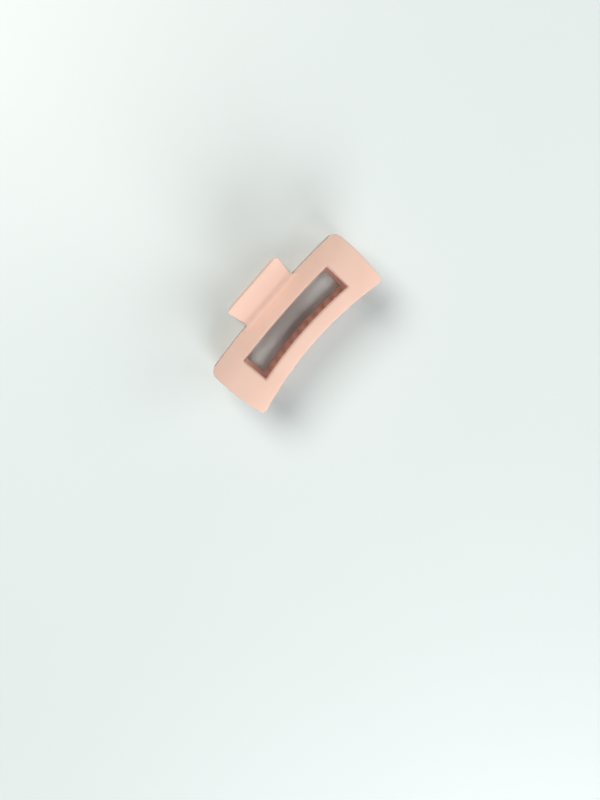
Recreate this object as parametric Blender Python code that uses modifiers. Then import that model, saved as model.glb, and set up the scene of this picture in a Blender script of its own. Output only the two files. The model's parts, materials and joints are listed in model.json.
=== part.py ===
"""Rectangular claw clip for hair: two identical moulded jaws on a pin, with a torsion spring.

The clip lies on its side, +Z up and +X along the hinge. Each jaw is drawn in its own
section axes: x along the hinge, p from the pin towards the teeth, q from the mid-plane
outwards. The upper jaw uses them as X, Y and Z with the origin on the pin, and the lower
jaw is the same moulding turned half a turn about Y.
"""

import math

import bmesh
import bpy
from mathutils import Matrix, Vector

MM = 0.001

# Arched shell of a jaw: one circular arc seen along the hinge.
SHELL_RADIUS = 37.7 * MM
SHELL_AXIS_P = 26.2 * MM
BELLY_Q = 20.6 * MM
SHELL_THICKNESS = 2.8 * MM
SHELL_STEP = math.radians(2.4)
SHELL_STEPS_FRONT = 12
SHELL_STEPS_BACK = 25

# Outline of the frame and its window, as bowed edges.
HALF_LENGTH = 54.0 * MM
HINGE_EDGE_P = -2.7 * MM
HINGE_EDGE_BOW = 0.82
TEETH_EDGE_P = 31.4 * MM
TEETH_EDGE_BOW = 2.45
END_BOW = 2.0
END_BOW_P = -1.4 * MM
HINGE_CORNER = 4.6 * MM
TEETH_CORNER = 3.2 * MM
WINDOW_HALF_LENGTH = 36.3 * MM
WINDOW_END_SLOPE = 0.05
WINDOW_MID_P = 12.0 * MM
WINDOW_HINGE_P = 7.1 * MM
WINDOW_HINGE_BOW = 0.84
WINDOW_TEETH_P = 23.4 * MM
WINDOW_TEETH_BOW = 1.96
WINDOW_CORNER = 0.7 * MM
OUTER_DRAFT = math.radians(5.0)
WINDOW_DRAFT = math.radians(20.0)
WALL_REACH = 6.0 * MM
WALL_RISE = 1.0 * MM
CUT_TOP_Q = 27.0 * MM

# Finger tab.
VALLEY_P = -2.2 * MM
TAB_TIP_P = -16.5 * MM
TAB_ROOT_HALF_WIDTH = 19.3 * MM
TAB_TIP_HALF_WIDTH = 21.1 * MM
TAB_THICKNESS = 2.5 * MM
TAB_EDGE_RADIUS = 0.5 * MM
TAB_CORNER = 2.3 * MM
TAB_ROOT_ROUND = 1.5 * MM
POCKET_P = 1.3 * MM
VALLEY_RADIUS = 3.0 * MM
VALLEY_BITE = 0.12 * MM

# Hinge.
PIN_RADIUS = 1.10 * MM
PIN_HEAD_RADIUS = 1.90 * MM
PIN_HEAD_HEIGHT = 0.90 * MM
PIN_HALF_LENGTH = 12.8 * MM
BORE_RADIUS = 1.40 * MM
EAR_RADIUS = 3.6 * MM
EAR_THICKNESS = 2.6 * MM
INNER_EAR_X = 7.0 * MM
OUTER_EAR_X = 9.9 * MM

# Teeth.
TEETH_PER_JAW = 12
TOOTH_PITCH = 7.1 * MM
TOOTH_INSET = 2.1 * MM
TOOTH_TIP_Q = -9.0 * MM
TOOTH_HOOK = 9.6 * MM
TOOTH_STATIONS = 9

# Torsion spring.
WIRE_RADIUS = 0.60 * MM
COIL_RADIUS = 2.90 * MM
COIL_HALF_LENGTH = 5.6 * MM
COIL_TURNS = 7
COIL_POINTS_PER_TURN = 20
LEG_ANGLE = math.radians(20.5)
LEG_GAP = 0.12 * MM
LEG_END_LENGTH = 7.5 * MM
LEG_BEND = 1.8 * MM

# The pin's place in the world, with the clip resting on its lower belly and tab.
PIN_Y = -10.52 * MM
PIN_Z = BELLY_Q

PLASTIC_COLOUR = (0.82, 0.53, 0.41, 1.0)
STEEL_COLOUR = (0.62, 0.62, 0.63, 1.0)


# ---------------------------------------------------------------- section geometry


def surface_q(p):
    """Height of the shell's outer face above the mid-plane, at p."""
    return BELLY_Q - SHELL_RADIUS + math.sqrt(SHELL_RADIUS ** 2 - (p - SHELL_AXIS_P) ** 2)


def tab_round(angle):
    """Centre of the round on the tab's tip, which is level with the belly."""
    return Vector((TAB_TIP_P + TAB_EDGE_RADIUS * math.cos(angle), BELLY_Q - TAB_EDGE_RADIUS))


def tab_angle():
    """Slope of the tab's flat outer face, from the valley up to the round on its tip."""
    angle = math.radians(45.0)
    for _ in range(60):
        contact = tab_round(angle) + tab_normal(angle) * TAB_EDGE_RADIUS
        angle = math.atan2(contact.y - surface_q(VALLEY_P), VALLEY_P - contact.x)
    return angle


def tab_normal(angle):
    return Vector((math.sin(angle), math.cos(angle)))


TAB_ANGLE = tab_angle()


def tab_outer_q(p):
    """Height of the tab's outer face at p."""
    return surface_q(VALLEY_P) + (VALLEY_P - p) * math.tan(TAB_ANGLE)


def tab_inner_q(p):
    """Height of the tab's inner face at p."""
    return tab_outer_q(p) - TAB_THICKNESS / math.cos(TAB_ANGLE)


def hinge_edge(x, offset=0.0):
    return Vector((x, HINGE_EDGE_P + HINGE_EDGE_BOW * x * x - offset))


def teeth_edge(x, offset=0.0):
    return Vector((x, TEETH_EDGE_P + TEETH_EDGE_BOW * x * x + offset))


def end_edge(p, offset=0.0):
    return Vector((HALF_LENGTH - END_BOW * (p - END_BOW_P) ** 2 + offset, p))


def window_hinge_edge(x, offset=0.0):
    return Vector((x, WINDOW_HINGE_P + WINDOW_HINGE_BOW * x * x - offset))


def window_teeth_edge(x, offset=0.0):
    return Vector((x, WINDOW_TEETH_P + WINDOW_TEETH_BOW * x * x + offset))


def window_end_edge(p, offset=0.0):
    return Vector((WINDOW_HALF_LENGTH - WINDOW_END_SLOPE * (p - WINDOW_MID_P) + offset, p))


def meeting_point(long_edge, end, offset):
    """Corner where a long edge meets the end edge on the +X side."""
    x = HALF_LENGTH
    for _ in range(40):
        p = long_edge(x, offset).y
        x = end(p, offset).x
    return Vector((x, p))


def half_side(edge, start, stop, count):
    """Points along an edge from parameter start to parameter stop."""
    return [edge(start + (stop - start) * i / count) for i in range(count + 1)]


def rounded(corner, before, after, count):
    """Points of a rounded corner, between the last point before and the first point after."""
    points = []
    for i in range(1, count):
        t = i / count
        points.append(before * (1 - t) ** 2 + corner * 2 * t * (1 - t) + after * t * t)
    return points


def frame_loop(hinge, teeth, end, offset, hinge_round, teeth_round, counts):
    """Closed outline in x and p, anticlockwise, symmetric about x = 0."""
    hinge_corner = meeting_point(hinge, end, offset)
    teeth_corner = meeting_point(teeth, end, offset)
    long_count, end_count, corner_count = counts
    lower = half_side(lambda x: hinge(x, offset), 0.0, hinge_corner.x - hinge_round, long_count)
    side = half_side(
        lambda p: end(p, offset),
        hinge_corner.y + hinge_round,
        teeth_corner.y - teeth_round,
        end_count,
    )
    upper = half_side(lambda x: teeth(x, offset), teeth_corner.x - teeth_round, 0.0, long_count)
    right = list(lower)
    right += rounded(hinge_corner, lower[-1], side[0], corner_count)
    right += side
    right += rounded(teeth_corner, side[-1], upper[0], corner_count)
    right += upper
    left = [Vector((-v.x, v.y)) for v in reversed(right[1:-1])]
    return right + left


# ---------------------------------------------------------------- mesh helpers


def new_object(name, bm, collection):
    mesh = bpy.data.meshes.new(name)
    bm.to_mesh(mesh)
    bm.free()
    obj = bpy.data.objects.new(name, mesh)
    collection.objects.link(obj)
    return obj


def loft(name, sections, collection):
    """Closed solid through sections that have the same number of points."""
    bm = bmesh.new()
    rings = [[bm.verts.new(point) for point in section] for section in sections]
    count = len(rings[0])
    for low, high in zip(rings, rings[1:]):
        for i in range(count):
            j = (i + 1) % count
            bm.faces.new((low[i], low[j], high[j], high[i]))
    bm.faces.new(list(reversed(rings[0])))
    bm.faces.new(rings[-1])
    bmesh.ops.recalc_face_normals(bm, faces=bm.faces)
    bmesh.ops.triangulate(bm, faces=bm.faces)
    return new_object(name, bm, collection)


def extruded_section(name, outline, x_low, x_high, collection):
    """Solid with the given outline in p and q, between two planes across the hinge."""
    low = [(x_low, p, q) for p, q in outline]
    high = [(x_high, p, q) for p, q in outline]
    return loft(name, [low, high], collection)


def evaluated_mesh(obj):
    bpy.context.view_layer.update()
    graph = bpy.context.evaluated_depsgraph_get()
    return bpy.data.meshes.new_from_object(obj.evaluated_get(graph))


def apply_modifiers(obj):
    """Replace an object's mesh by its evaluated mesh, and drop its modifiers."""
    mesh = evaluated_mesh(obj)
    old = obj.data
    obj.modifiers.clear()
    obj.data = mesh
    bpy.data.meshes.remove(old)


def combine(obj, other, operation):
    """Boolean of obj with other, which is used up."""
    modifier = obj.modifiers.new(operation.title(), "BOOLEAN")
    modifier.operation = operation
    modifier.solver = "EXACT"
    modifier.object = other
    apply_modifiers(obj)
    bpy.data.objects.remove(other)


def weld(obj, distance=2e-6):
    """Remove the near-zero edges that a cut leaves."""
    bm = bmesh.new()
    bm.from_mesh(obj.data)
    bmesh.ops.remove_doubles(bm, verts=bm.verts, dist=distance)
    bmesh.ops.dissolve_degenerate(bm, edges=bm.edges, dist=distance)
    bm.to_mesh(obj.data)
    bm.free()


# ---------------------------------------------------------------- jaw


def shell_blank(collection):
    """The whole arched sheet, before the outline is cut: an open surface with thickness."""
    bm = bmesh.new()
    rows = []
    for i in range(-SHELL_STEPS_FRONT, SHELL_STEPS_BACK + 1):
        angle = i * SHELL_STEP
        p = SHELL_AXIS_P - SHELL_RADIUS * math.sin(angle)
        q = BELLY_Q - SHELL_RADIUS + SHELL_RADIUS * math.cos(angle)
        reach = HALF_LENGTH + 4 * MM
        rows.append([bm.verts.new((-reach, p, q)), bm.verts.new((reach, p, q))])
    for a, b in zip(rows, rows[1:]):
        bm.faces.new((a[0], b[0], b[1], a[1]))
    bmesh.ops.recalc_face_normals(bm, faces=bm.faces)
    if bm.faces[0].normal.z < 0:
        bmesh.ops.reverse_faces(bm, faces=bm.faces)
    obj = new_object("shell_blank", bm, collection)
    solidify = obj.modifiers.new("Solidify", "SOLIDIFY")
    solidify.thickness = SHELL_THICKNESS
    solidify.offset = -1.0
    solidify.use_even_offset = True
    apply_modifiers(obj)
    return obj


def wall_prism(name, loop_at, draft, collection):
    """Solid whose drafted walls pass through an outline drawn on the shell's outer face."""
    low = loop_at(WALL_REACH * math.tan(draft))
    high = loop_at(-WALL_RISE * math.tan(draft))
    sections = [
        [(v.x, v.y, surface_q(v.y) - WALL_REACH) for v in low],
        [(v.x, v.y, surface_q(v.y) + WALL_RISE) for v in high],
        [(v.x, v.y, CUT_TOP_Q) for v in high],
    ]
    return loft(name, sections, collection)


def outer_loop(offset):
    return frame_loop(
        hinge_edge, teeth_edge, end_edge, offset, HINGE_CORNER, TEETH_CORNER, (18, 10, 6)
    )


def window_loop(offset):
    return frame_loop(
        window_hinge_edge,
        window_teeth_edge,
        window_end_edge,
        offset,
        WINDOW_CORNER,
        WINDOW_CORNER,
        (14, 5, 3),
    )


def valley_centre():
    """Centre of the concave round that joins the tab's outer face and the shell."""
    axis = Vector((SHELL_AXIS_P, BELLY_Q - SHELL_RADIUS))
    along = Vector((-math.cos(TAB_ANGLE), math.sin(TAB_ANGLE)))
    normal = Vector((math.sin(TAB_ANGLE), math.cos(TAB_ANGLE)))
    start = Vector((VALLEY_P, surface_q(VALLEY_P))) + normal * VALLEY_RADIUS
    reach = SHELL_RADIUS + VALLEY_RADIUS - VALLEY_BITE
    to_start = start - axis
    half = to_start.dot(along)
    root = math.sqrt(half * half - to_start.length_squared + reach * reach)
    slide = min((-half - root, -half + root), key=abs)
    return start + along * slide


def valley_arc(radius, count, last=None):
    """Points of the valley's round at a radius about its centre, from the tab side."""
    centre = valley_centre()
    first = math.atan2(-math.cos(TAB_ANGLE), -math.sin(TAB_ANGLE))
    if last is None:
        towards = Vector((SHELL_AXIS_P, BELLY_Q - SHELL_RADIUS)) - centre
        last = math.atan2(towards.y, towards.x)
    points = []
    for i in range(count + 1):
        angle = first + (last - first) * i / count
        points.append(centre + Vector((math.cos(angle), math.sin(angle))) * radius)
    return points


def inner_valley():
    """The tab's inner face around the valley, as far as the inside of the shell."""
    radius = VALLEY_RADIUS + TAB_THICKNESS
    return valley_arc(radius, 10, -math.acos((POCKET_P - valley_centre().x) / radius))


def tab_outline():
    """Section of the finger tab in p and q, rooted in the shell."""
    radius = TAB_EDGE_RADIUS
    centre = tab_round(TAB_ANGLE)
    outline = []
    for i in range(7):
        turn = math.radians(90.0 + 90.0 * i / 6) - TAB_ANGLE
        outline.append(centre + Vector((math.cos(turn), math.sin(turn))) * radius)
    outline.append(outline[-1] - tab_normal(TAB_ANGLE) * (TAB_THICKNESS - radius))
    inner = inner_valley()
    outline += inner[:-1]
    outline.append(Vector((2.2 * MM, surface_q(2.2 * MM) - 2.0 * MM)))
    outline += list(reversed(valley_arc(VALLEY_RADIUS, 10)))
    return [(v.x, v.y) for v in outline]


def tab_half_width(p):
    """Half width of the tab, which widens a little to its tip and has round corners there."""
    t = (p - HINGE_EDGE_P) / (TAB_TIP_P - HINGE_EDGE_P)
    return TAB_ROOT_HALF_WIDTH + (TAB_TIP_HALF_WIDTH - TAB_ROOT_HALF_WIDTH) * t


def tab_plan():
    """Plan outline of the tab in x and p: round tip corners and a round at each root."""
    root_x = tab_half_width(HINGE_EDGE_P)
    root_p = hinge_edge(root_x).y
    turn = TAB_ROOT_ROUND
    right = [
        Vector((root_x + turn + 2.8 * MM, root_p + 4.0 * MM)),
        Vector((root_x + turn + 1.9 * MM, root_p + 1.4 * MM)),
        Vector((root_x + turn + 0.9 * MM, root_p + 0.5 * MM)),
        Vector((root_x + turn, root_p)),
    ]
    for i in range(1, 6):
        angle = math.radians(90.0 + 15.0 * i)
        right.append(
            Vector((root_x + turn * (1 + math.cos(angle)), root_p - turn * (1 - math.sin(angle))))
        )
    right.append(Vector((root_x, root_p - turn)))
    tip_p = TAB_TIP_P - 0.05 * MM
    corner = Vector((tab_half_width(tip_p), tip_p))
    before = Vector((tab_half_width(tip_p + TAB_CORNER), tip_p + TAB_CORNER))
    after = Vector((corner.x - TAB_CORNER, tip_p))
    right += [before] + rounded(corner, before, after, 6) + [after]
    left = [Vector((-v.x, v.y)) for v in reversed(right)]
    return right + left


def add_tab(jaw, collection):
    tab = extruded_section("tab", tab_outline(), -26 * MM, 26 * MM, collection)
    prism = loft(
        "tab_plan",
        [[(v.x, v.y, q) for v in tab_plan()] for q in (-1.0 * MM, CUT_TOP_Q)],
        collection,
    )
    combine(tab, prism, "INTERSECT")
    combine(jaw, tab, "UNION")
    inner = [(v.x, v.y) for v in inner_valley()]
    reach = tab_half_width(HINGE_EDGE_P) + TAB_ROOT_ROUND
    pocket = extruded_section(
        "pocket",
        [(POCKET_P, -4 * MM), (-22 * MM, -4 * MM), (-22 * MM, tab_inner_q(-22 * MM))] + inner,
        -reach,
        reach,
        collection,
    )
    combine(jaw, pocket, "DIFFERENCE")


def ear_outline():
    """Section of a hinge ear: a round eye that widens up into the shell."""
    outline = []
    for i in range(13):
        turn = math.radians(190.0 + 165.0 * i / 12)
        outline.append((EAR_RADIUS * math.cos(turn), EAR_RADIUS * math.sin(turn)))
    front_p = 5.2 * MM
    outline.append((front_p, surface_q(front_p) - 2.4 * MM))
    outline.append((0.5 * MM, surface_q(0.5 * MM) - 1.4 * MM))
    middle = VALLEY_RADIUS + 0.5 * TAB_THICKNESS
    centre = valley_centre()
    outline.append((centre.x, centre.y - middle))
    outline.append((centre.x - 2.0 * MM, centre.y - math.sqrt(middle ** 2 - (2.0 * MM) ** 2)))
    return outline


def add_ears(jaw, collection):
    for low in (INNER_EAR_X, -OUTER_EAR_X - EAR_THICKNESS):
        ear = extruded_section("ear", ear_outline(), low, low + EAR_THICKNESS, collection)
        combine(jaw, ear, "UNION")
    bpy.ops.mesh.primitive_cylinder_add(
        vertices=32, radius=BORE_RADIUS, depth=40 * MM, rotation=(0, math.radians(90.0), 0)
    )
    bore = bpy.context.active_object
    bore.name = "bore"
    combine(jaw, bore, "DIFFERENCE")


def tooth_sections(x):
    """Sections of one curved tooth, from inside the shell to its rounded tip."""
    root_p = teeth_edge(x).y - TOOTH_INSET
    root_q = surface_q(root_p) - 1.2 * MM
    sections = []
    for i in range(TOOTH_STATIONS + 2):
        t = min(i / (TOOTH_STATIONS - 1), 1.0)
        p = root_p + 0.5 * TOOTH_HOOK * t - TOOTH_HOOK * t * t
        q = root_q + (TOOTH_TIP_Q - root_q) * t
        slope_p = 0.5 * TOOTH_HOOK - 2 * TOOTH_HOOK * t
        slope_q = TOOTH_TIP_Q - root_q
        length = math.hypot(slope_p, slope_q)
        along = Vector((slope_p / length, slope_q / length))
        across = Vector((-along.y, along.x))
        depth = (1.65 - 0.85 * t) * MM
        width = (1.75 - 0.45 * min(t / 0.3, 1.0) - 0.45 * max(0.0, t - 0.55) / 0.45) * MM
        if i >= TOOTH_STATIONS:
            extra = i - TOOTH_STATIONS + 1
            push = (0.45, 0.70)[extra - 1] * MM
            shrink = (0.80, 0.42)[extra - 1]
            p += along.x * push
            q += along.y * push
            depth *= shrink
            width *= shrink
        ring = []
        for k in range(8):
            turn = math.radians(22.5 + 45.0 * k)
            a = max(-1.0, min(1.0, 1.28 * math.cos(turn)))
            b = max(-1.0, min(1.0, 1.28 * math.sin(turn)))
            ring.append((x + a * width, p + across.x * b * depth, q + across.y * b * depth))
        sections.append(ring)
    return sections


def add_teeth(jaw, collection):
    for i in range(TEETH_PER_JAW):
        x = (i - TEETH_PER_JAW / 2 + 0.25) * TOOTH_PITCH
        tooth = loft("tooth", tooth_sections(x), collection)
        combine(jaw, tooth, "UNION")


def build_jaw(collection):
    jaw = shell_blank(collection)
    combine(jaw, wall_prism("outline", outer_loop, OUTER_DRAFT, collection), "INTERSECT")
    window = wall_prism("window", lambda d: window_loop(-d), WINDOW_DRAFT, collection)
    combine(jaw, window, "DIFFERENCE")
    add_tab(jaw, collection)
    add_ears(jaw, collection)
    add_teeth(jaw, collection)
    weld(jaw)
    return jaw


# ---------------------------------------------------------------- hardware


def build_pin(collection):
    """Headed pin, turned about its own axis."""
    head = PIN_HALF_LENGTH + PIN_HEAD_HEIGHT
    chamfer = 0.3 * MM
    profile = [
        (0.0, head),
        (PIN_HEAD_RADIUS - chamfer, head),
        (PIN_HEAD_RADIUS, head - chamfer),
        (PIN_HEAD_RADIUS, PIN_HALF_LENGTH),
        (PIN_RADIUS, PIN_HALF_LENGTH),
        (PIN_RADIUS, -PIN_HALF_LENGTH),
        (PIN_HEAD_RADIUS, -PIN_HALF_LENGTH),
        (PIN_HEAD_RADIUS, -head + chamfer),
        (PIN_HEAD_RADIUS - chamfer, -head),
        (0.0, -head),
    ]
    bm = bmesh.new()
    verts = [bm.verts.new((r, 0.0, z)) for r, z in profile]
    for a, b in zip(verts, verts[1:]):
        bm.edges.new((a, b))
    pin = new_object("hinge_pin", bm, collection)
    screw = pin.modifiers.new("Screw", "SCREW")
    screw.axis = "Z"
    screw.steps = 28
    screw.render_steps = 28
    screw.use_merge_vertices = True
    screw.merge_threshold = 0.00001
    pin.rotation_euler = (0.0, math.radians(90.0), 0.0)
    pin.location = (0.0, PIN_Y, PIN_Z)
    return pin


def spring_leg():
    """Upper leg in p and q: tangent to the coil, then bent to lie along the tab's inner face."""
    foot = Vector((math.sin(LEG_ANGLE), math.cos(LEG_ANGLE))) * COIL_RADIUS
    along = Vector((-math.cos(LEG_ANGLE), math.sin(LEG_ANGLE)))
    normal = Vector((math.sin(TAB_ANGLE), math.cos(TAB_ANGLE)))
    rest = Vector((TAB_TIP_P, tab_inner_q(TAB_TIP_P))).dot(normal) - WIRE_RADIUS - LEG_GAP
    bend = foot + along * ((rest - foot.dot(normal)) / along.dot(normal))
    out = Vector((-math.cos(TAB_ANGLE), math.sin(TAB_ANGLE)))
    before = bend - along * LEG_BEND
    after = bend + out * LEG_BEND
    return [before] + rounded(bend, before, after, 5) + [after, bend + out * LEG_END_LENGTH]


def spring_path():
    """Centre line of the wire: lower leg, coil, upper leg."""
    start = -(math.radians(90.0) - LEG_ANGLE)
    sweep = 2 * math.pi * COIL_TURNS - 2 * start
    steps = int(round(COIL_POINTS_PER_TURN * sweep / (2 * math.pi)))
    coil = []
    for i in range(steps + 1):
        turn = start + sweep * i / steps
        x = -COIL_HALF_LENGTH + 2 * COIL_HALF_LENGTH * i / steps
        coil.append(Vector((x, COIL_RADIUS * math.cos(turn), COIL_RADIUS * math.sin(turn))))
    leg = spring_leg()
    lower = [Vector((-COIL_HALF_LENGTH, v.x, -v.y)) for v in reversed(leg)]
    upper = [Vector((COIL_HALF_LENGTH, v.x, v.y)) for v in leg]
    return lower + coil + upper


def build_spring(collection):
    curve = bpy.data.curves.new("spring_wire", "CURVE")
    curve.dimensions = "3D"
    curve.bevel_depth = WIRE_RADIUS
    curve.bevel_resolution = 2
    curve.use_fill_caps = True
    spline = curve.splines.new("POLY")
    path = spring_path()
    spline.points.add(len(path) - 1)
    for point, place in zip(spline.points, path):
        point.co = (place.x, place.y, place.z, 1.0)
    wire = bpy.data.objects.new("spring_wire", curve)
    collection.objects.link(wire)
    mesh = evaluated_mesh(wire)
    bm = bmesh.new()
    bm.from_mesh(mesh)
    bmesh.ops.remove_doubles(bm, verts=bm.verts, dist=1e-5)
    bm.to_mesh(mesh)
    bm.free()
    spring = bpy.data.objects.new("torsion_spring", mesh)
    spring.matrix_world = wire.matrix_world
    collection.objects.link(spring)
    bpy.data.objects.remove(wire)
    spring.location = (0.0, PIN_Y, PIN_Z)
    return spring


# ---------------------------------------------------------------- assembly


def material(name, colour, roughness, metallic):
    result = bpy.data.materials.new(name)
    result.use_nodes = True
    shader = result.node_tree.nodes["Principled BSDF"]
    shader.inputs["Base Color"].default_value = colour
    shader.inputs["Roughness"].default_value = roughness
    shader.inputs["Metallic"].default_value = metallic
    result.diffuse_color = colour
    return result


def shade(obj):
    obj.data.shade_smooth()
    obj.data.set_sharp_from_angle(angle=math.radians(32.0))


def main():
    for obj in list(bpy.data.objects):
        bpy.data.objects.remove(obj)
    collection = bpy.data.collections.new("claw_clip")
    bpy.context.scene.collection.children.link(collection)
    layer = bpy.context.view_layer
    layer.active_layer_collection = layer.layer_collection.children["claw_clip"]

    upper = build_jaw(collection)
    upper.name = "upper_jaw"
    upper.data.name = "upper_jaw"
    upper.location = (0.0, PIN_Y, PIN_Z)
    lower = bpy.data.objects.new("lower_jaw", upper.data.copy())
    collection.objects.link(lower)
    lower.location = (0.0, PIN_Y, PIN_Z)
    lower.rotation_euler = (0.0, math.pi, 0.0)
    pin = build_pin(collection)
    spring = build_spring(collection)

    upper.data.materials.clear()
    lower.data.materials.clear()
    upper.data.materials.append(material("upper_plastic", PLASTIC_COLOUR, 0.55, 0.0))
    lower.data.materials.append(material("lower_plastic", PLASTIC_COLOUR, 0.55, 0.0))
    pin.data.materials.append(material("pin_steel", STEEL_COLOUR, 0.30, 1.0))
    spring.data.materials.clear()
    spring.data.materials.append(material("spring_steel", STEEL_COLOUR, 0.25, 1.0))
    for obj in (upper, lower, pin, spring):
        shade(obj)


main()
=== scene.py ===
import json
import math

import bmesh
import bpy
from mathutils import Euler, Matrix, Vector


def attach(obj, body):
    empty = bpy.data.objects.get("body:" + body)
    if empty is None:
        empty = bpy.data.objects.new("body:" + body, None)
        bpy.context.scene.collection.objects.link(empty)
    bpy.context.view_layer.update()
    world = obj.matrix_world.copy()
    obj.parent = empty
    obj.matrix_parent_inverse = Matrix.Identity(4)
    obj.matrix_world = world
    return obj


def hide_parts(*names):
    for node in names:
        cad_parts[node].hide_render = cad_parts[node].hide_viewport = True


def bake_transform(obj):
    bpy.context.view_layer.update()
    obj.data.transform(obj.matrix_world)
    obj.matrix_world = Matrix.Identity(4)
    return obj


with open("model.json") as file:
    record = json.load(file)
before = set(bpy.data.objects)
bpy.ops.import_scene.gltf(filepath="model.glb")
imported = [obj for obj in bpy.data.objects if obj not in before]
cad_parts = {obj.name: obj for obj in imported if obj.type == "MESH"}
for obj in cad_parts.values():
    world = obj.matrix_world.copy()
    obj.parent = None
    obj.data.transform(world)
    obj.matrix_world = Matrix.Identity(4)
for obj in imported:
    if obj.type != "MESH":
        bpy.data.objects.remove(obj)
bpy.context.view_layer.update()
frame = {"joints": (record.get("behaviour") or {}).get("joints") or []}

MM = 0.001

# The hinge axis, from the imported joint.
HINGE = Vector(frame["joints"][0]["pos_m"])

# A jaw is built about the hinge: x along the pin, p from the pin to the teeth, q outwards.
# The shell's section is an arc. A long edge bows by its BOW times x squared, and an end by
# END_EDGE_BOW times the square of its distance from END_EDGE_P, in metres.
SHELL_RADIUS = 37.7 * MM
SHELL_AXIS_P = 26.2 * MM
BELLY_Q = 20.6 * MM
SHELL_THICKNESS = 2.8 * MM
SHELL_ARC_START = -28.8
SHELL_ARC_SWEEP = 88.8
HALF_LENGTH = 54.0 * MM
HINGE_EDGE_P = -2.7 * MM
HINGE_EDGE_BOW = 0.82
TEETH_EDGE_P = 31.4 * MM
TEETH_EDGE_BOW = 2.45
END_EDGE_BOW = 2.0
END_EDGE_P = -1.4 * MM
HINGE_CORNER = 4.6 * MM
TEETH_CORNER = 3.4 * MM
WINDOW_CORNER = 0.9 * MM
WINDOW_HALF_LENGTH = 36.3 * MM
WINDOW_TAPER = 0.05
WINDOW_TAPER_P = 12.0 * MM
WINDOW_HINGE_P = 7.1 * MM
WINDOW_HINGE_BOW = 0.84
WINDOW_TEETH_P = 23.4 * MM
WINDOW_TEETH_BOW = 1.96
OUTER_DRAFT = math.radians(5.0)
WINDOW_DRAFT = math.radians(20.0)
WALL_REACH = 6.0 * MM
WALL_RISE = 1.0 * MM
CUT_TOP_Q = 27.0 * MM

# The finger tab, the rounded valley at its root and the pocket under it.
VALLEY_P = -2.2 * MM
VALLEY_RADIUS = 3.0 * MM
VALLEY_BITE = 0.02 * MM
TAB_TIP_P = -16.5 * MM
TAB_THICKNESS = 2.5 * MM
TAB_ROOT_HALF_WIDTH = 19.3 * MM
TAB_FLARE = 1.8 * MM
TAB_BLANK_HALF_WIDTH = 26 * MM
TAB_CORNER = 2.3 * MM
TAB_ROOT_ROUND = 1.5 * MM
POCKET_P = 1.3 * MM
POCKET_FAR_P = -22 * MM
POCKET_LOW_Q = -4 * MM
TAB_EDGE_RADIUS = 0.45 * MM

# Hinge ears and teeth.
EAR_RADIUS = 3.6 * MM
EAR_THICKNESS = 2.6 * MM
INNER_EAR_X = 7.0 * MM
OUTER_EAR_X = 9.9 * MM
BORE_RADIUS = 1.35 * MM
TEETH_PER_JAW = 12
TOOTH_STAGGER = 0.25
TOOTH_STATIONS = 25
TOOTH_TIP_RINGS = 3
TOOTH_INSET = 2.1 * MM
TOOTH_ROOT_DEPTH = 1.2 * MM
TOOTH_SQUARENESS = 0.62
TOOTH_PITCH = 7.1 * MM
TOOTH_TIP_Q = -9.0 * MM
TOOTH_HOOK = 9.6 * MM

# Pin and spring.
PIN_HALF_LENGTH = 12.8 * MM
PIN_RADIUS = 1.1 * MM
PIN_HEAD_RADIUS = 1.9 * MM
PIN_HEAD_THICKNESS = 0.9 * MM
WIRE_RADIUS = 0.60 * MM
COIL_RADIUS = 2.90 * MM
COIL_TURNS = 7
COIL_HALF_LENGTH = 5.6 * MM
COIL_STEPS = 330
LEG_ANGLE = math.radians(20.5)
LEG_GAP = 0.12 * MM
LEG_END_LENGTH = 7.5 * MM
LEG_BEND = 1.8 * MM

# The remesh that rounds every edge of a jaw.
VOXEL = 0.34 * MM
SMOOTH_ITERATIONS = 6
GRID_TURN = math.radians(35.0)
GRID_AXIS = Vector((0.5, 0.2, 1.0))

# Colours, linear.
PEACH_DEEP = (0.745, 0.500, 0.405, 1.0)
PEACH_PALE = (0.775, 0.530, 0.435, 1.0)
# Painted shade: a darker tone multiplied onto the inside of the shell, standing in for shade
# there.
INSIDE_PAINTED_SHADE = (0.62, 0.43, 0.39, 1.0)
STEEL_DARK = (0.50, 0.50, 0.51, 1.0)
STEEL_LIGHT = (0.70, 0.69, 0.67, 1.0)
FLOOR_DARK = (0.675, 0.728, 0.718, 1.0)
FLOOR_LIGHT = (0.705, 0.762, 0.752, 1.0)

CAMERA_LENS = 38.25
CAMERA_LOCATION = (-0.001652, -0.0396, 0.521222)
CAMERA_DEGREES = (-8.8888, -4.2168, 131.5983)

workshop = bpy.data.collections.new("workshop")
bpy.context.scene.collection.children.link(workshop)


# ---------------------------------------------------------------- helpers


def new_object(name, bm):
    mesh = bpy.data.meshes.new(name)
    bm.to_mesh(mesh)
    bm.free()
    obj = bpy.data.objects.new(name, mesh)
    workshop.objects.link(obj)
    return obj


def loft(name, sections):
    bm = bmesh.new()
    rings = [[bm.verts.new(point) for point in section] for section in sections]
    count = len(rings[0])
    for low, high in zip(rings, rings[1:]):
        for i in range(count):
            j = (i + 1) % count
            bm.faces.new((low[i], low[j], high[j], high[i]))
    bm.faces.new(list(reversed(rings[0])))
    bm.faces.new(rings[-1])
    bmesh.ops.recalc_face_normals(bm, faces=bm.faces)
    bmesh.ops.triangulate(bm, faces=bm.faces)
    return new_object(name, bm)


def evaluated_mesh(obj):
    bpy.context.view_layer.update()
    graph = bpy.context.evaluated_depsgraph_get()
    return bpy.data.meshes.new_from_object(obj.evaluated_get(graph))


def apply_modifiers(obj):
    mesh = evaluated_mesh(obj)
    old = obj.data
    obj.modifiers.clear()
    obj.data = mesh
    bpy.data.meshes.remove(old)


def combine(obj, other, operation):
    modifier = obj.modifiers.new(operation.title(), "BOOLEAN")
    modifier.operation = operation
    modifier.solver = "EXACT"
    modifier.object = other
    apply_modifiers(obj)
    bpy.data.objects.remove(other)


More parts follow.
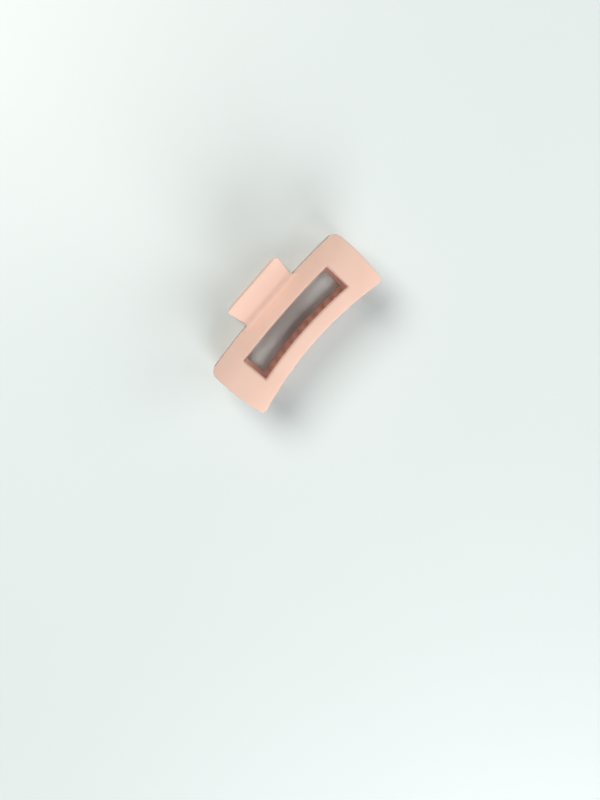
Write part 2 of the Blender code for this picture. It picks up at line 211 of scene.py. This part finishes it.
# ---------------------------------------------------------------- shell section


def surface_q(p):
    return BELLY_Q - SHELL_RADIUS + math.sqrt(SHELL_RADIUS ** 2 - (p - SHELL_AXIS_P) ** 2)


def tab_round(angle):
    """Centre of the round on the tab's tip, which is level with the belly."""
    return Vector((TAB_TIP_P + TAB_EDGE_RADIUS * math.cos(angle), BELLY_Q - TAB_EDGE_RADIUS))


def tab_angle():
    """Slope of the tab's flat outer face, from the valley up to the round on its tip."""
    angle = math.radians(45.0)
    for _ in range(60):
        contact = tab_round(angle) + tab_normal(angle) * TAB_EDGE_RADIUS
        angle = math.atan2(contact.y - surface_q(VALLEY_P), VALLEY_P - contact.x)
    return angle


def tab_normal(angle):
    return Vector((math.sin(angle), math.cos(angle)))


TAB_ANGLE = tab_angle()


def tab_outer_q(p):
    return surface_q(VALLEY_P) + (VALLEY_P - p) * math.tan(TAB_ANGLE)


def tab_inner_q(p):
    return tab_outer_q(p) - TAB_THICKNESS / math.cos(TAB_ANGLE)


def hinge_edge(x, offset=0.0):
    return Vector((x, HINGE_EDGE_P + HINGE_EDGE_BOW * x * x - offset))


def teeth_edge(x, offset=0.0):
    return Vector((x, TEETH_EDGE_P + TEETH_EDGE_BOW * x * x + offset))


def end_edge(p, offset=0.0):
    return Vector((HALF_LENGTH - END_EDGE_BOW * (p - END_EDGE_P) ** 2 + offset, p))


def window_hinge_edge(x, offset=0.0):
    return Vector((x, WINDOW_HINGE_P + WINDOW_HINGE_BOW * x * x - offset))


def window_teeth_edge(x, offset=0.0):
    return Vector((x, WINDOW_TEETH_P + WINDOW_TEETH_BOW * x * x + offset))


def window_end_edge(p, offset=0.0):
    return Vector((WINDOW_HALF_LENGTH - WINDOW_TAPER * (p - WINDOW_TAPER_P) + offset, p))


def meeting_point(long_edge, end, offset):
    """Where a long edge crosses an end edge, before the corner is rounded."""
    x = HALF_LENGTH
    for _ in range(40):
        p = long_edge(x, offset).y
        x = end(p, offset).x
    return Vector((x, p))


def samples(edge, start, stop, count):
    return [edge(start + (stop - start) * i / count) for i in range(count + 1)]


def rounded(corner, before, after, count):
    """Points of a corner's round, between the points before and after it."""
    points = []
    for i in range(1, count):
        t = i / count
        points.append(before * (1 - t) ** 2 + corner * 2 * t * (1 - t) + after * t * t)
    return points


def frame_loop(hinge, teeth, end, offset, hinge_round, teeth_round, counts):
    """Closed outline in x and p from three edges, the same left and right."""
    hinge_corner = meeting_point(hinge, end, offset)
    teeth_corner = meeting_point(teeth, end, offset)
    long_count, end_count, corner_count = counts
    lower = samples(lambda x: hinge(x, offset), 0.0, hinge_corner.x - hinge_round, long_count)
    side = samples(
        lambda p: end(p, offset),
        hinge_corner.y + hinge_round,
        teeth_corner.y - teeth_round,
        end_count,
    )
    upper = samples(lambda x: teeth(x, offset), teeth_corner.x - teeth_round, 0.0, long_count)
    right = list(lower)
    right += rounded(hinge_corner, lower[-1], side[0], corner_count)
    right += side
    right += rounded(teeth_corner, side[-1], upper[0], corner_count)
    right += upper
    left = [Vector((-v.x, v.y)) for v in reversed(right[1:-1])]
    return right + left


# ---------------------------------------------------------------- jaw moulding


def shell_blank():
    """The arched sheet that the jaw is cut from."""
    bm = bmesh.new()
    rows = []
    steps = 110
    for i in range(steps + 1):
        angle = math.radians(SHELL_ARC_START + SHELL_ARC_SWEEP * i / steps)
        p = SHELL_AXIS_P - SHELL_RADIUS * math.sin(angle)
        q = BELLY_Q - SHELL_RADIUS + SHELL_RADIUS * math.cos(angle)
        reach = HALF_LENGTH + 4 * MM
        rows.append([bm.verts.new((-reach, p, q)), bm.verts.new((reach, p, q))])
    for a, b in zip(rows, rows[1:]):
        bm.faces.new((a[0], b[0], b[1], a[1]))
    bmesh.ops.recalc_face_normals(bm, faces=bm.faces)
    if bm.faces[0].normal.z < 0:
        bmesh.ops.reverse_faces(bm, faces=bm.faces)
    obj = new_object("shell_blank", bm)
    solidify = obj.modifiers.new("Solidify", "SOLIDIFY")
    solidify.thickness = SHELL_THICKNESS
    solidify.offset = -1.0
    solidify.use_even_offset = True
    apply_modifiers(obj)
    return obj


def wall_prism(name, loop_at, draft):
    """A drafted cutter whose walls pass through an outline on the outer face."""
    low = loop_at(WALL_REACH * math.tan(draft))
    high = loop_at(-WALL_RISE * math.tan(draft))
    return loft(
        name,
        [
            [(v.x, v.y, surface_q(v.y) - WALL_REACH) for v in low],
            [(v.x, v.y, surface_q(v.y) + WALL_RISE) for v in high],
            [(v.x, v.y, CUT_TOP_Q) for v in high],
        ],
    )


def outer_loop(offset):
    return frame_loop(
        hinge_edge, teeth_edge, end_edge, offset, HINGE_CORNER, TEETH_CORNER, (50, 28, 12)
    )


def window_loop(offset):
    return frame_loop(
        window_hinge_edge,
        window_teeth_edge,
        window_end_edge,
        offset,
        WINDOW_CORNER,
        WINDOW_CORNER,
        (40, 10, 6),
    )


def valley_centre():
    """Centre of the concave round that joins the tab's outer face and the shell."""
    axis = Vector((SHELL_AXIS_P, BELLY_Q - SHELL_RADIUS))
    along = Vector((-math.cos(TAB_ANGLE), math.sin(TAB_ANGLE)))
    normal = tab_normal(TAB_ANGLE)
    start = Vector((VALLEY_P, surface_q(VALLEY_P))) + normal * VALLEY_RADIUS
    reach = SHELL_RADIUS + VALLEY_RADIUS - VALLEY_BITE
    to_start = start - axis
    half = to_start.dot(along)
    root = math.sqrt(half * half - to_start.length_squared + reach * reach)
    slide = min((-half - root, -half + root), key=abs)
    return start + along * slide


def valley_arc(radius, count, last=None):
    """Points of the valley's round at a radius about its centre, from the tab side."""
    centre = valley_centre()
    first = math.atan2(-math.cos(TAB_ANGLE), -math.sin(TAB_ANGLE))
    if last is None:
        towards = Vector((SHELL_AXIS_P, BELLY_Q - SHELL_RADIUS)) - centre
        last = math.atan2(towards.y, towards.x)
    points = []
    for i in range(count + 1):
        angle = first + (last - first) * i / count
        points.append(centre + Vector((math.cos(angle), math.sin(angle))) * radius)
    return points


def inner_valley():
    """The tab's inner face around the valley, as far as the inside of the shell."""
    radius = VALLEY_RADIUS + TAB_THICKNESS
    return valley_arc(radius, 24, -math.acos((POCKET_P - valley_centre().x) / radius))


def tab_section():
    """Section of the finger tab in p and q, rooted in the shell."""
    radius = TAB_EDGE_RADIUS
    centre = tab_round(TAB_ANGLE)
    outline = []
    for i in range(13):
        turn = math.radians(90.0 + 90.0 * i / 12) - TAB_ANGLE
        outline.append(centre + Vector((math.cos(turn), math.sin(turn))) * radius)
    outline.append(outline[-1] - tab_normal(TAB_ANGLE) * (TAB_THICKNESS - radius))
    inner = inner_valley()
    outline += inner[:-1]
    outline.append(Vector((2.2 * MM, surface_q(2.2 * MM) - 2.0 * MM)))
    outline += list(reversed(valley_arc(VALLEY_RADIUS, 24)))
    return outline


def tab_half_width(p):
    t = (p - HINGE_EDGE_P) / (TAB_TIP_P - HINGE_EDGE_P)
    return TAB_ROOT_HALF_WIDTH + TAB_FLARE * t


def tab_plan():
    """Plan outline of the tab in x and p: round tip corners and a round at each root."""
    root_x = tab_half_width(HINGE_EDGE_P)
    root_p = hinge_edge(root_x).y
    turn = TAB_ROOT_ROUND
    right = [
        Vector((root_x + turn + 2.8 * MM, root_p + 4.0 * MM)),
        Vector((root_x + turn + 1.9 * MM, root_p + 1.4 * MM)),
        Vector((root_x + turn + 0.9 * MM, root_p + 0.5 * MM)),
        Vector((root_x + turn, root_p)),
    ]
    for i in range(1, 12):
        angle = math.radians(90.0 + 7.5 * i)
        round_x = root_x + turn * (1 + math.cos(angle))
        round_p = root_p - turn * (1 - math.sin(angle))
        right.append(Vector((round_x, round_p)))
    right.append(Vector((root_x, root_p - turn)))
    tip_p = TAB_TIP_P - 0.05 * MM
    corner = Vector((tab_half_width(tip_p), tip_p))
    before = Vector((tab_half_width(tip_p + TAB_CORNER), tip_p + TAB_CORNER))
    after = Vector((corner.x - TAB_CORNER, tip_p))
    right += [before] + rounded(corner, before, after, 12) + [after]
    left = [Vector((-v.x, v.y)) for v in reversed(right)]
    return right + left


def bar(name, outline, low, high):
    return loft(name, [[(low, v.x, v.y) for v in outline], [(high, v.x, v.y) for v in outline]])


def prism(name, plan, low, high):
    return loft(name, [[(v.x, v.y, low) for v in plan], [(v.x, v.y, high) for v in plan]])


def add_tab(jaw):
    tab = bar("tab", tab_section(), -TAB_BLANK_HALF_WIDTH, TAB_BLANK_HALF_WIDTH)
    combine(tab, prism("tab_plan", tab_plan(), -1 * MM, CUT_TOP_Q), "INTERSECT")
    combine(jaw, tab, "UNION")
    section = [
        Vector((POCKET_P, POCKET_LOW_Q)),
        Vector((POCKET_FAR_P, POCKET_LOW_Q)),
        Vector((POCKET_FAR_P, tab_inner_q(POCKET_FAR_P))),
    ]
    reach = tab_half_width(HINGE_EDGE_P) + TAB_ROOT_ROUND
    combine(jaw, bar("pocket", section + inner_valley(), -reach, reach), "DIFFERENCE")


def ear_section():
    """Section of a hinge ear: a round eye that widens up into the shell."""
    outline = []
    for i in range(31):
        turn = math.radians(190.0 + 165.0 * i / 30)
        outline.append(Vector((EAR_RADIUS * math.cos(turn), EAR_RADIUS * math.sin(turn))))
    front_p = 5.2 * MM
    outline.append(Vector((front_p, surface_q(front_p) - 2.4 * MM)))
    outline.append(Vector((0.5 * MM, surface_q(0.5 * MM) - 1.4 * MM)))
    middle = VALLEY_RADIUS + 0.5 * TAB_THICKNESS
    centre = valley_centre()
    outline.append(Vector((centre.x, centre.y - middle)))
    back = centre + Vector((-2.0 * MM, -math.sqrt(middle ** 2 - (2.0 * MM) ** 2)))
    outline.append(back)
    return outline


def add_ears(jaw):
    for low in (INNER_EAR_X, -OUTER_EAR_X - EAR_THICKNESS):
        combine(jaw, bar("ear", ear_section(), low, low + EAR_THICKNESS), "UNION")
    bm = bmesh.new()
    bmesh.ops.create_cone(
        bm,
        cap_ends=True,
        segments=64,
        radius1=BORE_RADIUS,
        radius2=BORE_RADIUS,
        depth=40 * MM,
        matrix=Matrix.Rotation(math.radians(90.0), 4, "Y"),
    )
    combine(jaw, new_object("bore", bm), "DIFFERENCE")


def tooth_sections(x):
    """Sections of one curved tooth, from inside the shell to its rounded tip."""
    root_p = teeth_edge(x).y - TOOTH_INSET
    root_q = surface_q(root_p) - TOOTH_ROOT_DEPTH
    sections = []
    for i in range(TOOTH_STATIONS + TOOTH_TIP_RINGS):
        t = min(i / (TOOTH_STATIONS - 1), 1.0)
        p = root_p + 0.5 * TOOTH_HOOK * t - TOOTH_HOOK * t * t
        q = root_q + (TOOTH_TIP_Q - root_q) * t
        slope_p = 0.5 * TOOTH_HOOK - 2 * TOOTH_HOOK * t
        slope_q = TOOTH_TIP_Q - root_q
        length = math.hypot(slope_p, slope_q)
        along = Vector((slope_p / length, slope_q / length))
        across = Vector((-along.y, along.x))
        depth = (1.65 - 0.85 * t) * MM
        width = (1.75 - 0.45 * min(t / 0.3, 1.0) - 0.45 * max(0.0, t - 0.55) / 0.45) * MM
        if i >= TOOTH_STATIONS:
            extra = (i - TOOTH_STATIONS + 1) / TOOTH_TIP_RINGS
            push = 0.75 * math.sin(extra * math.pi / 2) * MM
            shrink = math.cos(extra * math.radians(72.0))
            p += along.x * push
            q += along.y * push
            depth *= shrink
            width *= shrink
        ring = []
        for k in range(24):
            turn = math.radians(7.5 + 15.0 * k)
            a = math.copysign(abs(math.cos(turn)) ** TOOTH_SQUARENESS, math.cos(turn))
            b = math.copysign(abs(math.sin(turn)) ** TOOTH_SQUARENESS, math.sin(turn))
            ring.append((x + a * width, p + across.x * b * depth, q + across.y * b * depth))
        sections.append(ring)
    return sections


def add_teeth(jaw):
    for i in range(TEETH_PER_JAW):
        x = (i - TEETH_PER_JAW // 2 + TOOTH_STAGGER) * TOOTH_PITCH
        combine(jaw, loft("tooth", tooth_sections(x)), "UNION")


def build_moulding():
    """One jaw about the hinge. The lower jaw is the same moulding turned over."""
    jaw = shell_blank()
    combine(jaw, wall_prism("outline", outer_loop, OUTER_DRAFT), "INTERSECT")
    combine(jaw, wall_prism("window", lambda d: window_loop(-d), WINDOW_DRAFT), "DIFFERENCE")
    add_tab(jaw)
    add_ears(jaw)
    add_teeth(jaw)
    # Turned off the grid's axes, so that the long thin rims come out without steps.
    jaw.data.transform(Matrix.Rotation(GRID_TURN, 4, GRID_AXIS))
    remesh = jaw.modifiers.new("Remesh", "REMESH")
    remesh.mode = "VOXEL"
    remesh.voxel_size = VOXEL
    remesh.adaptivity = 0.0
    remesh.use_smooth_shade = True
    smooth = jaw.modifiers.new("Smooth", "SMOOTH")
    smooth.factor = 0.5
    smooth.iterations = SMOOTH_ITERATIONS
    apply_modifiers(jaw)
    jaw.data.transform(Matrix.Rotation(-GRID_TURN, 4, GRID_AXIS))
    return jaw


# ---------------------------------------------------------------- materials


def plastic_material(name):
    """Matt peach plastic with a fine grain, and painted shade: a darker tone on the inside of
    the shell.
    """
    mat = bpy.data.materials.new(name)
    mat.use_nodes = True
    tree = mat.node_tree
    shader = tree.nodes["Principled BSDF"]
    shader.inputs["IOR"].default_value = 1.49
    shader.inputs["Specular IOR Level"].default_value = 0.35
    shader.inputs["Sheen Weight"].default_value = 0.42
    shader.inputs["Sheen Roughness"].default_value = 0.4
    coords = tree.nodes.new("ShaderNodeTexCoord")
    link = tree.links.new

    cloud = tree.nodes.new("ShaderNodeTexNoise")
    cloud.inputs["Scale"].default_value = 45.0
    cloud.inputs["Detail"].default_value = 3.0
    link(coords.outputs["Object"], cloud.inputs["Vector"])
    tint = tree.nodes.new("ShaderNodeValToRGB")
    tint.color_ramp.elements[0].position = 0.35
    tint.color_ramp.elements[0].color = PEACH_DEEP
    tint.color_ramp.elements[1].position = 0.65
    tint.color_ramp.elements[1].color = PEACH_PALE
    link(cloud.outputs["Fac"], tint.inputs["Fac"])

    grain = tree.nodes.new("ShaderNodeTexNoise")
    grain.inputs["Scale"].default_value = 900.0
    grain.inputs["Detail"].default_value = 2.0
    link(coords.outputs["Object"], grain.inputs["Vector"])

    # Distance from the shell's axis, which tells the inner face from the outer one; the inner
    # face gets painted shade.
    from_axis = tree.nodes.new("ShaderNodeVectorMath")
    from_axis.operation = "MULTIPLY_ADD"
    from_axis.inputs[1].default_value = (0.0, 1.0, 1.0)
    from_axis.inputs[2].default_value = (0.0, -SHELL_AXIS_P, SHELL_RADIUS - BELLY_Q)
    link(coords.outputs["Object"], from_axis.inputs[0])
    reach = tree.nodes.new("ShaderNodeVectorMath")
    reach.operation = "LENGTH"
    link(from_axis.outputs["Vector"], reach.inputs[0])
    inside = tree.nodes.new("ShaderNodeMapRange")
    inside.inputs["From Min"].default_value = SHELL_RADIUS - 1.0 * MM
    inside.inputs["From Max"].default_value = SHELL_RADIUS - 2.9 * MM
    link(reach.outputs["Value"], inside.inputs["Value"])
    # Painted shade: the inside of the shell is multiplied by the darker tone.
    painted_shade_mix = tree.nodes.new("ShaderNodeMix")
    painted_shade_mix.data_type = "RGBA"
    painted_shade_mix.blend_type = "MULTIPLY"
    painted_shade_mix.inputs["B"].default_value = INSIDE_PAINTED_SHADE
    link(inside.outputs["Result"], painted_shade_mix.inputs["Factor"])
    link(tint.outputs["Color"], painted_shade_mix.inputs["A"])
    link(painted_shade_mix.outputs["Result"], shader.inputs["Base Color"])

    rough = tree.nodes.new("ShaderNodeMapRange")
    rough.inputs["To Min"].default_value = 0.46
    rough.inputs["To Max"].default_value = 0.60
    link(cloud.outputs["Fac"], rough.inputs["Value"])
    link(rough.outputs["Result"], shader.inputs["Roughness"])

    bump = tree.nodes.new("ShaderNodeBump")
    bump.inputs["Strength"].default_value = 0.12
    bump.inputs["Distance"].default_value = 0.00008
    link(grain.outputs["Fac"], bump.inputs["Height"])
    link(bump.outputs["Normal"], shader.inputs["Normal"])
    return mat


def steel_material(name, stretch):
    """Steel with fine drawing marks. A stretch below 1 lengthens them along that axis."""
    mat = bpy.data.materials.new(name)
    mat.use_nodes = True
    tree = mat.node_tree
    shader = tree.nodes["Principled BSDF"]
    shader.inputs["Metallic"].default_value = 1.0
    coords = tree.nodes.new("ShaderNodeTexCoord")
    mapping = tree.nodes.new("ShaderNodeMapping")
    mapping.inputs["Scale"].default_value = stretch
    link = tree.links.new
    link(coords.outputs["Object"], mapping.inputs["Vector"])
    streak = tree.nodes.new("ShaderNodeTexNoise")
    streak.inputs["Scale"].default_value = 300.0
    streak.inputs["Detail"].default_value = 4.0
    link(mapping.outputs["Vector"], streak.inputs["Vector"])
    tint = tree.nodes.new("ShaderNodeValToRGB")
    tint.color_ramp.elements[0].color = STEEL_DARK
    tint.color_ramp.elements[1].color = STEEL_LIGHT
    link(streak.outputs["Fac"], tint.inputs["Fac"])
    link(tint.outputs["Color"], shader.inputs["Base Color"])
    rough = tree.nodes.new("ShaderNodeMapRange")
    rough.inputs["To Min"].default_value = 0.20
    rough.inputs["To Max"].default_value = 0.42
    link(streak.outputs["Fac"], rough.inputs["Value"])
    link(rough.outputs["Result"], shader.inputs["Roughness"])
    bump = tree.nodes.new("ShaderNodeBump")
    bump.inputs["Strength"].default_value = 0.15
    bump.inputs["Distance"].default_value = 0.00004
    link(streak.outputs["Fac"], bump.inputs["Height"])
    link(bump.outputs["Normal"], shader.inputs["Normal"])
    return mat


# ---------------------------------------------------------------- hardware


def spring_leg():
    """Upper leg in p and q: tangent to the coil, then bent to lie along the tab's inner face."""
    foot = Vector((math.sin(LEG_ANGLE), math.cos(LEG_ANGLE))) * COIL_RADIUS
    along = Vector((-math.cos(LEG_ANGLE), math.sin(LEG_ANGLE)))
    normal = tab_normal(TAB_ANGLE)
    rest = Vector((TAB_TIP_P, tab_inner_q(TAB_TIP_P))).dot(normal) - WIRE_RADIUS - LEG_GAP
    bend = foot + along * ((rest - foot.dot(normal)) / along.dot(normal))
    out = Vector((-math.cos(TAB_ANGLE), math.sin(TAB_ANGLE)))
    before = bend - along * LEG_BEND
    after = bend + out * LEG_BEND
    first = [foot + (before - foot) * i / 6 for i in range(1, 6)]
    last = [after + (bend + out * LEG_END_LENGTH - after) * i / 6 for i in range(1, 7)]
    return first + [before] + rounded(bend, before, after, 8) + [after] + last


def build_spring():
    """The coil round the pin with a leg under each tab, as one wire."""
    half = COIL_HALF_LENGTH
    start = -(math.radians(90.0) - LEG_ANGLE)
    sweep = 2 * math.pi * COIL_TURNS - 2 * start
    coil = []
    for i in range(COIL_STEPS + 1):
        turn = start + sweep * i / COIL_STEPS
        x = -half + 2 * half * i / COIL_STEPS
        coil.append(Vector((x, COIL_RADIUS * math.cos(turn), COIL_RADIUS * math.sin(turn))))
    leg = spring_leg()
    lower_leg = [Vector((-half, v.x, -v.y)) for v in reversed(leg)]
    path = lower_leg + coil + [Vector((half, v.x, v.y)) for v in leg]
    curve = bpy.data.curves.new("spring_wire", "CURVE")
    curve.dimensions = "3D"
    curve.bevel_depth = WIRE_RADIUS
    curve.bevel_resolution = 5
    curve.use_fill_caps = True
    spline = curve.splines.new("POLY")
    spline.points.add(len(path) - 1)
    for point, place in zip(spline.points, path):
        point.co = (place.x, place.y, place.z, 1.0)
    wire = bpy.data.objects.new("spring_wire", curve)
    workshop.objects.link(wire)
    mesh = evaluated_mesh(wire)
    bpy.data.objects.remove(wire)
    bm = bmesh.new()
    bm.from_mesh(mesh)
    bmesh.ops.remove_doubles(bm, verts=bm.verts, dist=1e-6)
    bm.to_mesh(mesh)
    bm.free()
    spring = bpy.data.objects.new("spring_coil", mesh)
    workshop.objects.link(spring)
    return spring


def build_pin():
    """The headed pin, turned from its profile."""
    half = PIN_HALF_LENGTH
    radius = PIN_RADIUS
    head = PIN_HEAD_RADIUS
    thick = PIN_HEAD_THICKNESS
    profile = [(0.0, half + thick)]
    for i in range(1, 11):
        turn = math.radians(9.0 * i)
        dome = half + thick * (0.25 + 0.75 * math.cos(turn))
        profile.append((head * math.sin(turn), dome))
    profile += [(head, half + 0.08 * thick), (head - 0.08 * MM, half), (radius, half)]
    profile += [(radius, half * (1 - i / 6)) for i in range(1, 6)]
    profile += [(r, -z) for r, z in reversed(profile)]
    bm = bmesh.new()
    verts = [bm.verts.new((r, 0.0, z)) for r, z in profile]
    for a, b in zip(verts, verts[1:]):
        bm.edges.new((a, b))
    pin = new_object("pin_rivet", bm)
    screw = pin.modifiers.new("Screw", "SCREW")
    screw.axis = "Z"
    screw.steps = 64
    screw.render_steps = 64
    screw.use_merge_vertices = True
    screw.merge_threshold = 0.000001
    apply_modifiers(pin)
    pin.data.transform(Matrix.Rotation(math.radians(90.0), 4, "Y"))
    return pin


def place(obj, name, matrix, material, smooth_angle):
    """Moves a finished piece out of the workshop, with its name, place and material."""
    obj.name = name
    obj.data.name = name
    workshop.objects.unlink(obj)
    bpy.context.scene.collection.objects.link(obj)
    obj.matrix_world = matrix
    obj.data.materials.clear()
    obj.data.materials.append(material)
    obj.data.shade_smooth()
    if smooth_angle:
        obj.data.set_sharp_from_angle(angle=math.radians(smooth_angle))
    return obj


at_hinge = Matrix.Translation(HINGE)
half_turn = Matrix.Rotation(math.pi, 4, "Y")

upper = build_moulding()
lower = bpy.data.objects.new("lower", upper.data.copy())
workshop.objects.link(lower)
place(upper, "upper_jaw_moulding", at_hinge, plastic_material("peach_upper"), 0)
place(lower, "lower_jaw_moulding", at_hinge @ half_turn, plastic_material("peach_lower"), 0)
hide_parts("upper_jaw")
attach(upper, "upper")
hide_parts("lower_jaw")
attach(lower, "lower")

pin = place(build_pin(), "pin_rivet", at_hinge, steel_material("pin_steel", (0.1, 1, 1)), 30)
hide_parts("hinge_pin")
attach(pin, "lower")

spring = place(
    build_spring(), "spring_coil", at_hinge, steel_material("spring_steel", (1, 1, 1)), 40
)
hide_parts("torsion_spring")
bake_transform(spring)

# ---------------------------------------------------------------- studio


def build_floor():
    bm = bmesh.new()
    bmesh.ops.create_grid(bm, x_segments=1, y_segments=1, size=3.0)
    floor = new_object("floor", bm)
    workshop.objects.unlink(floor)
    bpy.context.scene.collection.objects.link(floor)
    mat = bpy.data.materials.new("floor_white")
    mat.use_nodes = True
    tree = mat.node_tree
    shader = tree.nodes["Principled BSDF"]
    shader.inputs["Roughness"].default_value = 0.45
    coords = tree.nodes.new("ShaderNodeTexCoord")
    cloud = tree.nodes.new("ShaderNodeTexNoise")
    cloud.inputs["Scale"].default_value = 4.0
    tint = tree.nodes.new("ShaderNodeValToRGB")
    tint.color_ramp.elements[0].color = FLOOR_DARK
    tint.color_ramp.elements[1].color = FLOOR_LIGHT
    tree.links.new(coords.outputs["Object"], cloud.inputs["Vector"])
    tree.links.new(cloud.outputs["Fac"], tint.inputs["Fac"])
    tree.links.new(tint.outputs["Color"], shader.inputs["Base Color"])
    floor.data.materials.append(mat)


def add_area(name, direction, distance, size, power, colour):
    """A soft round light that faces the clip from a direction."""
    light = bpy.data.lights.new(name, "AREA")
    light.shape = "DISK"
    light.size = size
    light.energy = power
    light.color = colour
    lamp = bpy.data.objects.new(name, light)
    away = Vector(direction).normalized()
    lamp.location = Vector((0, 0, 0.02)) + away * distance
    lamp.rotation_mode = "QUATERNION"
    lamp.rotation_quaternion = away.to_track_quat("Z", "Y")
    bpy.context.scene.collection.objects.link(lamp)


build_floor()
add_area("key", (0.46, 0.80, 0.38), 1.8, 1.40, 30.5, (0.97, 0.99, 1.0))
add_area("side", (-0.66, 0.64, 0.42), 1.8, 1.10, 12.0, (0.99, 0.99, 1.0))
add_area("back", (-0.03, -0.58, 0.81), 1.8, 1.0, 25.5, (1.0, 0.975, 0.93))

world = bpy.data.worlds.new("studio")
world.use_nodes = True
world.node_tree.nodes["Background"].inputs["Color"].default_value = (0.90, 0.95, 1.0, 1.0)
world.node_tree.nodes["Background"].inputs["Strength"].default_value = 0.16
bpy.context.scene.world = world
bpy.context.scene.view_settings.view_transform = "Standard"

camera_data = bpy.data.cameras.new("camera")
camera_data.sensor_width = 36.0
camera_data.lens = CAMERA_LENS
camera_data.clip_start = 0.01
camera_data.clip_end = 20.0
camera = bpy.data.objects.new("camera", camera_data)
camera.location = CAMERA_LOCATION
camera.rotation_euler = Euler([math.radians(a) for a in CAMERA_DEGREES], "XYZ")
bpy.context.scene.collection.objects.link(camera)
bpy.context.scene.camera = camera

bpy.data.collections.remove(workshop)
